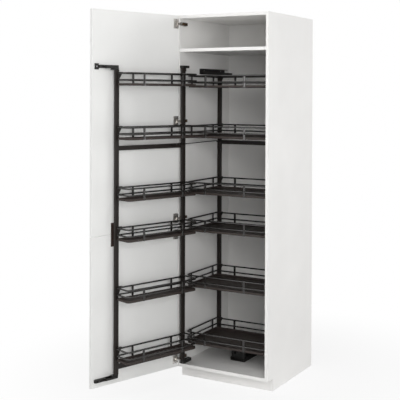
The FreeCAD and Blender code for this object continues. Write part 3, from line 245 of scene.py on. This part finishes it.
def carried(outline, profile, closed=False):
    """Vertices and faces of a profile carried round an outline.

    Each profile point is an offset along the outline's outward direction and a height, so the
    vertex is the outline's point plus offset times direction, raised to that height. An open
    profile is closed by one flat face at each end, a closed one joins its last point to its
    first.
    """
    points, outward = outline
    profile = np.array(profile)
    count = len(points)
    flat = points[None] + profile[:, 0, None, None] * outward[None]
    height = np.broadcast_to(profile[:, 1, None, None], (len(profile), count, 1))
    vertices = np.concatenate([flat, height], axis=-1).reshape(-1, 3)
    row = np.arange(len(profile) if closed else len(profile) - 1)[:, None] * count
    after = (row + count) % (len(profile) * count)
    column = np.arange(count)
    beside = (column + 1) % count
    quads = np.stack([row + column, row + beside, after + beside, after + column], axis=-1)
    faces = quads.reshape(-1, 4).tolist()
    if not closed:
        faces.append(column[::-1].tolist())
        faces.append((column + (len(profile) - 1) * count).tolist())
    return vertices, faces


def opened(vertices):
    """Points drawn on the shut swinging frame, turned about the pivot to the open frame."""
    c = math.cos(-OPEN_ANGLE)
    s = math.sin(-OPEN_ANGLE)
    flat = vertices[:, :2] - PIVOT
    turned = flat @ np.array([[c, s], [-s, c]])
    return np.column_stack([turned + PIVOT, vertices[:, 2]])


def welded(name, parts, materials, smooth_angle=40.0):
    """One mesh object from parts, each its vertices, faces and the number of its material.

    It is shaded smooth except at edges sharper than smooth_angle degrees.
    """
    starts = np.cumsum([0] + [len(part[0]) for part in parts])
    faces = [[index + start for index in face] for start, part in zip(starts, parts) for face in part[1]]
    numbers = np.concatenate([np.full(len(part[1]), part[2]) for part in parts])
    mesh = bpy.data.meshes.new(name)
    mesh.from_pydata(np.concatenate([part[0] for part in parts]).tolist(), [], faces)
    for material in materials:
        mesh.materials.append(material)
    mesh.polygons.foreach_set("material_index", numbers.astype(np.int32))
    mesh.update()
    mesh.shade_smooth()
    mesh.set_sharp_from_angle(angle=math.radians(smooth_angle))
    made = bpy.data.objects.new(name, mesh)
    bpy.context.scene.collection.objects.link(made)
    return made


def tube_outline(centre_x, centre_y):
    """A rounded rectangle with a square groove let into the middle of each long side."""
    half = np.array([POST_WIDTH, POST_THICKNESS]) / 2
    points, outward = rounded(centre_x - half[0], centre_x + half[0], centre_y - half[1],
                              centre_y + half[1], POST_ROUND, POST_ROUND)
    side = GROOVE_WIDTH / 2
    groove = np.array([(side, half[1]), (side, half[1] - GROOVE_DEPTH),
                       (-side, half[1] - GROOVE_DEPTH), (-side, half[1])])
    middle = len(points) // 2
    centre = (centre_x, centre_y)
    joined = np.concatenate([points[:middle], centre + groove, points[middle:], centre - groove])
    return joined, np.zeros_like(joined)


def post(node, centre_x, centre_y, body, swings):
    """One post between the heights of its CAD node, turned open where its frame swings."""
    low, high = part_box(node)
    vertices, faces = carried(tube_outline(centre_x, centre_y), [(0.0, low.z), (0.0, high.z)])
    vertices = opened(vertices) if swings else vertices
    made = welded(node + "_tube", [(vertices, faces, 0)], [anthracite])
    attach(made, body)
    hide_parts(node)


post("swing_frame_pivot_post", PIVOT[0] + PIVOT_POST_ALONG, PIVOT[1] + POST_OUT, "swinging_frame", True)
post("swing_frame_free_post", PIVOT[0] + FREE_POST_ALONG, PIVOT[1] + POST_OUT, "swinging_frame", True)
for node in ("inner_frame_post_left", "inner_frame_post_right"):
    low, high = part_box(node)
    post(node, (low.x + high.x) / 2, (low.y + high.y) / 2, "inner_frame", False)

# Cross bars, lugs, hooks, rod and its brackets
# Flat steel bar and pressed plates welded to the posts, coated with them in one go.
# The coupling rod is a drawn bar with an eye at each end.
dress(anthracite, "swing_frame_crossbars", "swing_frame_pivot_lugs", "inner_frame_crossbar",
      "inner_frame_base_bar", "rod_bracket_front", "rod_bracket_rear", "coupling_rod",
      "door_basket_hooks", "inner_basket_hooks")

# Baskets
# Each one is a pressed sheet tray with a turned-up rim, two bent wire rails and flat uprights,
# spot welded and coated. The wire takes the coat darker than the broad brown grey tray.
WIRE_RADIUS = 4.5 * MM
RAIL_HEIGHTS = (68.0 * MM, 31.0 * MM)
RIM_HEIGHT = 13.0 * MM
SHEET = 1.5 * MM
FOLD = 2.5 * MM
UPRIGHT_WIDTH = 14.0 * MM
UPRIGHT_THICKNESS = 2.5 * MM
UPRIGHT_EDGE = 0.5 * MM
UPRIGHT_STEPS = 4
FOLD_STEPS = 5
WIRE_SIDES = 16
BACK_CORNER = 8.0 * MM
ROWS = 6
brown_grey = finish("brown grey powder coated sheet", "2B2421", "342C29",
                    patch_mm=30.0, roughness=0.55, spread=0.05, grain_mm=0.8, relief_mm=0.02,
                    **{"Specular IOR Level": 0.3})
dark_wire = finish("dark powder coated wire", "12100E", "1A1715",
                   patch_mm=20.0, roughness=0.22, spread=0.04, grain_mm=0.8, relief_mm=0.01,
                   **{"Specular IOR Level": 0.65})


def tray_profile():
    """The section of the tray from under its floor, round the fold and over the rim.

    The fold is a quarter circle outside and inside, the lip a half circle.
    """
    quarter = np.linspace(0.0, 0.25, FOLD_STEPS) * math.tau
    half = np.linspace(0.0, 0.5, FOLD_STEPS) * math.tau
    lip = SHEET / 2
    inner_fold = FOLD - SHEET
    outside = np.column_stack([-FOLD + FOLD * np.sin(quarter), FOLD - FOLD * np.cos(quarter)])
    over = np.column_stack([-lip + lip * np.cos(half), RIM_HEIGHT - lip + lip * np.sin(half)])
    inside = np.column_stack([-FOLD + inner_fold * np.cos(quarter), FOLD - inner_fold * np.sin(quarter)])
    return np.concatenate([outside, over, inside])


def wire_profile(height):
    """A circle round the outline at a height: radius times (cosine, sine)."""
    angle = np.linspace(0.0, 1.0, WIRE_SIDES, endpoint=False) * math.tau
    return np.column_stack([WIRE_RADIUS * np.cos(angle), height + WIRE_RADIUS * np.sin(angle)])


def upright(x, y, along_x):
    """A flat bar with eased edges from the tray's underside to the upper rail."""
    half_x = (UPRIGHT_WIDTH if along_x else UPRIGHT_THICKNESS) / 2
    half_y = (UPRIGHT_THICKNESS if along_x else UPRIGHT_WIDTH) / 2
    outline = rounded(x - half_x, x + half_x, y - half_y, y + half_y, UPRIGHT_EDGE, UPRIGHT_EDGE,
                      UPRIGHT_STEPS)
    return carried(outline, [(0.0, 0.0), (0.0, RAIL_HEIGHTS[0])])


def basket_parts(x0, x1, y0, y1, near, far, uprights):
    """The tray, the two rails and the uprights of one basket that stands at height zero."""
    outline = rounded(x0, x1, y0, y1, near, far)
    parts = [carried(outline, tray_profile()) + (0,)]
    parts += [carried(outline, wire_profile(height), closed=True) + (1,) for height in RAIL_HEIGHTS]
    parts += [upright(*place) + (1,) for place in uprights]
    return parts


def hang(kind, parts, body, swings):
    """One basket at the height of each CAD basket of a kind."""
    for number in range(1, ROWS + 1):
        node = "%s_basket_%d" % (kind, number)
        low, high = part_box(node)
        placed = [(vertices + (0.0, 0.0, low.z), faces, material)
                  for vertices, faces, material in parts]
        if swings:
            placed = [(opened(vertices), faces, material) for vertices, faces, material in placed]
        made = welded(node + "_welded", placed, [brown_grey, dark_wire])
        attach(made, body)
        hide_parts(node)


# The narrow baskets of the swinging frame, with two uprights front and back
DOOR_START = -1.0 * MM
DOOR_END = 480.0 * MM
DOOR_FRONT = 22.0 * MM
DOOR_REAR = 128.0 * MM
DOOR_X = (PIVOT[0] + DOOR_START, PIVOT[0] + DOOR_END)
DOOR_Y = (PIVOT[1] + DOOR_FRONT, PIVOT[1] + DOOR_REAR)
DOOR_CORNER = 22.0 * MM
DOOR_INSET = 105.0 * MM
door_uprights = [(x, y, True) for x in (DOOR_X[0] + DOOR_INSET, DOOR_X[1] - DOOR_INSET) for y in DOOR_Y]
hang("door", basket_parts(*DOOR_X, *DOOR_Y, BACK_CORNER, DOOR_CORNER, door_uprights),
     "swinging_frame", True)

# The deep baskets of the inner frame, with two uprights on every side
low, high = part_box("inner_basket_1")
INNER_X = (low.x + WIRE_RADIUS, high.x - WIRE_RADIUS)
INNER_Y = (low.y + WIRE_RADIUS, high.y - WIRE_RADIUS)
INNER_CORNER = 30.0 * MM
INNER_FROM_LEFT = 129.0 * MM
INNER_FROM_RIGHT = 145.0 * MM
INNER_FROM_FRONT = 58.0 * MM
INNER_FROM_REAR = 47.0 * MM
inner_uprights = [(x, y, True) for x in (INNER_X[0] + INNER_FROM_LEFT, INNER_X[1] - INNER_FROM_RIGHT)
                  for y in INNER_Y]
inner_uprights += [(x, y, False) for x in INNER_X
                   for y in (INNER_Y[0] + INNER_FROM_FRONT, INNER_Y[1] - INNER_FROM_REAR)]
hang("inner", basket_parts(*INNER_X, *INNER_Y, INNER_CORNER, BACK_CORNER, inner_uprights),
     "inner_frame", False)

# Floor and background
# A pale seamless studio floor that runs out into plain white away from the cabinet.
# Near the cabinet it keeps a soft shadow.
FLOOR_HALF = 30.0
NEAR_WHITE = 0.85
FADE_START = 0.5
FADE_END = 1.7


def seen(tree):
    """One for a ray from the camera, off gloss or through clear parts, zero for any other."""
    path = add(tree, "ShaderNodeLightPath")
    glossy = add(tree, "ShaderNodeMath", {"operation": "MAXIMUM"},
                 links={0: path.outputs["Is Camera Ray"], 1: path.outputs["Is Glossy Ray"]})
    clear = add(tree, "ShaderNodeMath", {"operation": "MAXIMUM"},
                links={0: glossy.outputs["Value"], 1: path.outputs["Is Transmission Ray"]})
    return clear.outputs["Value"]


corner = np.array([(-1, -1, 0), (1, -1, 0), (1, 1, 0), (-1, 1, 0)]) * FLOOR_HALF
floor_mesh = bpy.data.meshes.new("floor")
floor_mesh.from_pydata(corner.tolist(), [], [(0, 1, 2, 3)])
floor = bpy.data.objects.new("floor", floor_mesh)
bpy.context.scene.collection.objects.link(floor)
painted = bpy.data.materials.new("matt white painted floor")
painted.use_nodes = True
tree = painted.node_tree
tree.nodes.clear()
place = add(tree, "ShaderNodeTexCoord").outputs["Object"]
distance = add(tree, "ShaderNodeVectorMath", {"operation": "LENGTH"}, links={0: place}).outputs["Value"]
fade = add(tree, "ShaderNodeMapRange", {"interpolation_type": "SMOOTHSTEP"},
           {"From Min": FADE_START, "From Max": FADE_END, "To Min": NEAR_WHITE}, {"Value": distance})
whitened = add(tree, "ShaderNodeMath", {"operation": "MULTIPLY"},
               links={0: fade.outputs["Result"], 1: seen(tree)}).outputs["Value"]
matt = add(tree, "ShaderNodeBsdfDiffuse", values={"Color": linear("F2F2F2")}).outputs["BSDF"]
white = add(tree, "ShaderNodeEmission",
            values={"Color": (1, 1, 1, 1), "Strength": 1.0}).outputs["Emission"]
mixed = add(tree, "ShaderNodeMixShader", links={0: whitened, 1: matt, 2: white}).outputs["Shader"]
add(tree, "ShaderNodeOutputMaterial", links={"Surface": mixed})
floor_mesh.materials.append(painted)

# Studio light
# Six soft boxes in a dim room: two before the cabinet, one high above them, a smaller one on
# the left that the front rails mirror, and two behind for the sides and the back.
ROOM_LIGHT = 0.18
CABINET_MIDDLE = (0.0, 0.0, 1.1)
studio = bpy.data.worlds.new("studio")
bpy.context.scene.world = studio
studio.use_nodes = True
tree = studio.node_tree
tree.nodes.clear()
room = add(tree, "ShaderNodeBackground", values={"Color": (1, 1, 1, 1), "Strength": ROOM_LIGHT})
backdrop = add(tree, "ShaderNodeBackground", values={"Color": (1, 1, 1, 1), "Strength": 1.0})
mixed = add(tree, "ShaderNodeMixShader",
            links={0: seen(tree), 1: room.outputs["Background"], 2: backdrop.outputs["Background"]})
add(tree, "ShaderNodeOutputWorld", links={"Surface": mixed.outputs["Shader"]})


def softbox(name, position, size, power):
    """A square area light of a size in metres and a power in watts that faces the cabinet."""
    lamp = bpy.data.lights.new(name, "AREA")
    lamp.shape = "SQUARE"
    lamp.size = size
    lamp.energy = power
    made = bpy.data.objects.new(name, lamp)
    bpy.context.scene.collection.objects.link(made)
    made.location = position
    away = np.array(position) - np.array(CABINET_MIDDLE)
    made.rotation_euler = (math.atan2(math.hypot(away[0], away[1]), away[2]), 0.0,
                           math.atan2(away[0], -away[1]))


softbox("front box", position=(1.0, -6.0, 3.0), size=3.0, power=38.0)
softbox("camera side box", position=(4.1, -4.6, 2.0), size=3.0, power=158.0)
softbox("high box", position=(0.5, -4.0, 4.5), size=3.0, power=48.0)
softbox("front left box", position=(-2.6, -5.0, 1.8), size=1.6, power=42.0)
softbox("rear right box", position=(4.5, 3.0, 2.0), size=3.0, power=96.0)
softbox("rear left box", position=(-4.2, 4.0, 1.3), size=2.4, power=50.0)

# Camera
# The viewing angle, distance and picture offset were measured on the photograph's edges.
SENSOR_WIDTH = 36.0
LENS = 77.52
SHIFT_X = -0.094
SHIFT_Y = -0.246
CAMERA_PLACE = (2.44449, -4.56471, 1.66646)
YAW = math.radians(28.755)
PITCH = math.radians(0.457)
ROLL = math.radians(0.213)
camera_data = bpy.data.cameras.new("camera")
camera_data.sensor_width = SENSOR_WIDTH
camera_data.lens = LENS
camera_data.shift_x = SHIFT_X
camera_data.shift_y = SHIFT_Y
camera = bpy.data.objects.new("camera", camera_data)
bpy.context.scene.collection.objects.link(camera)
ahead = np.array([-math.sin(YAW) * math.cos(PITCH), math.cos(YAW) * math.cos(PITCH), -math.sin(PITCH)])
level = np.array([math.cos(YAW), math.sin(YAW), 0.0])
over = np.cross(level, ahead)
turn = np.eye(4)
turn[:3, 0] = level * math.cos(ROLL) + over * math.sin(ROLL)
turn[:3, 1] = over * math.cos(ROLL) - level * math.sin(ROLL)
turn[:3, 2] = -ahead
turn[:3, 3] = CAMERA_PLACE
camera.matrix_world = Matrix(turn.tolist())
bpy.context.scene.camera = camera
bpy.context.scene.view_settings.view_transform = "Standard"
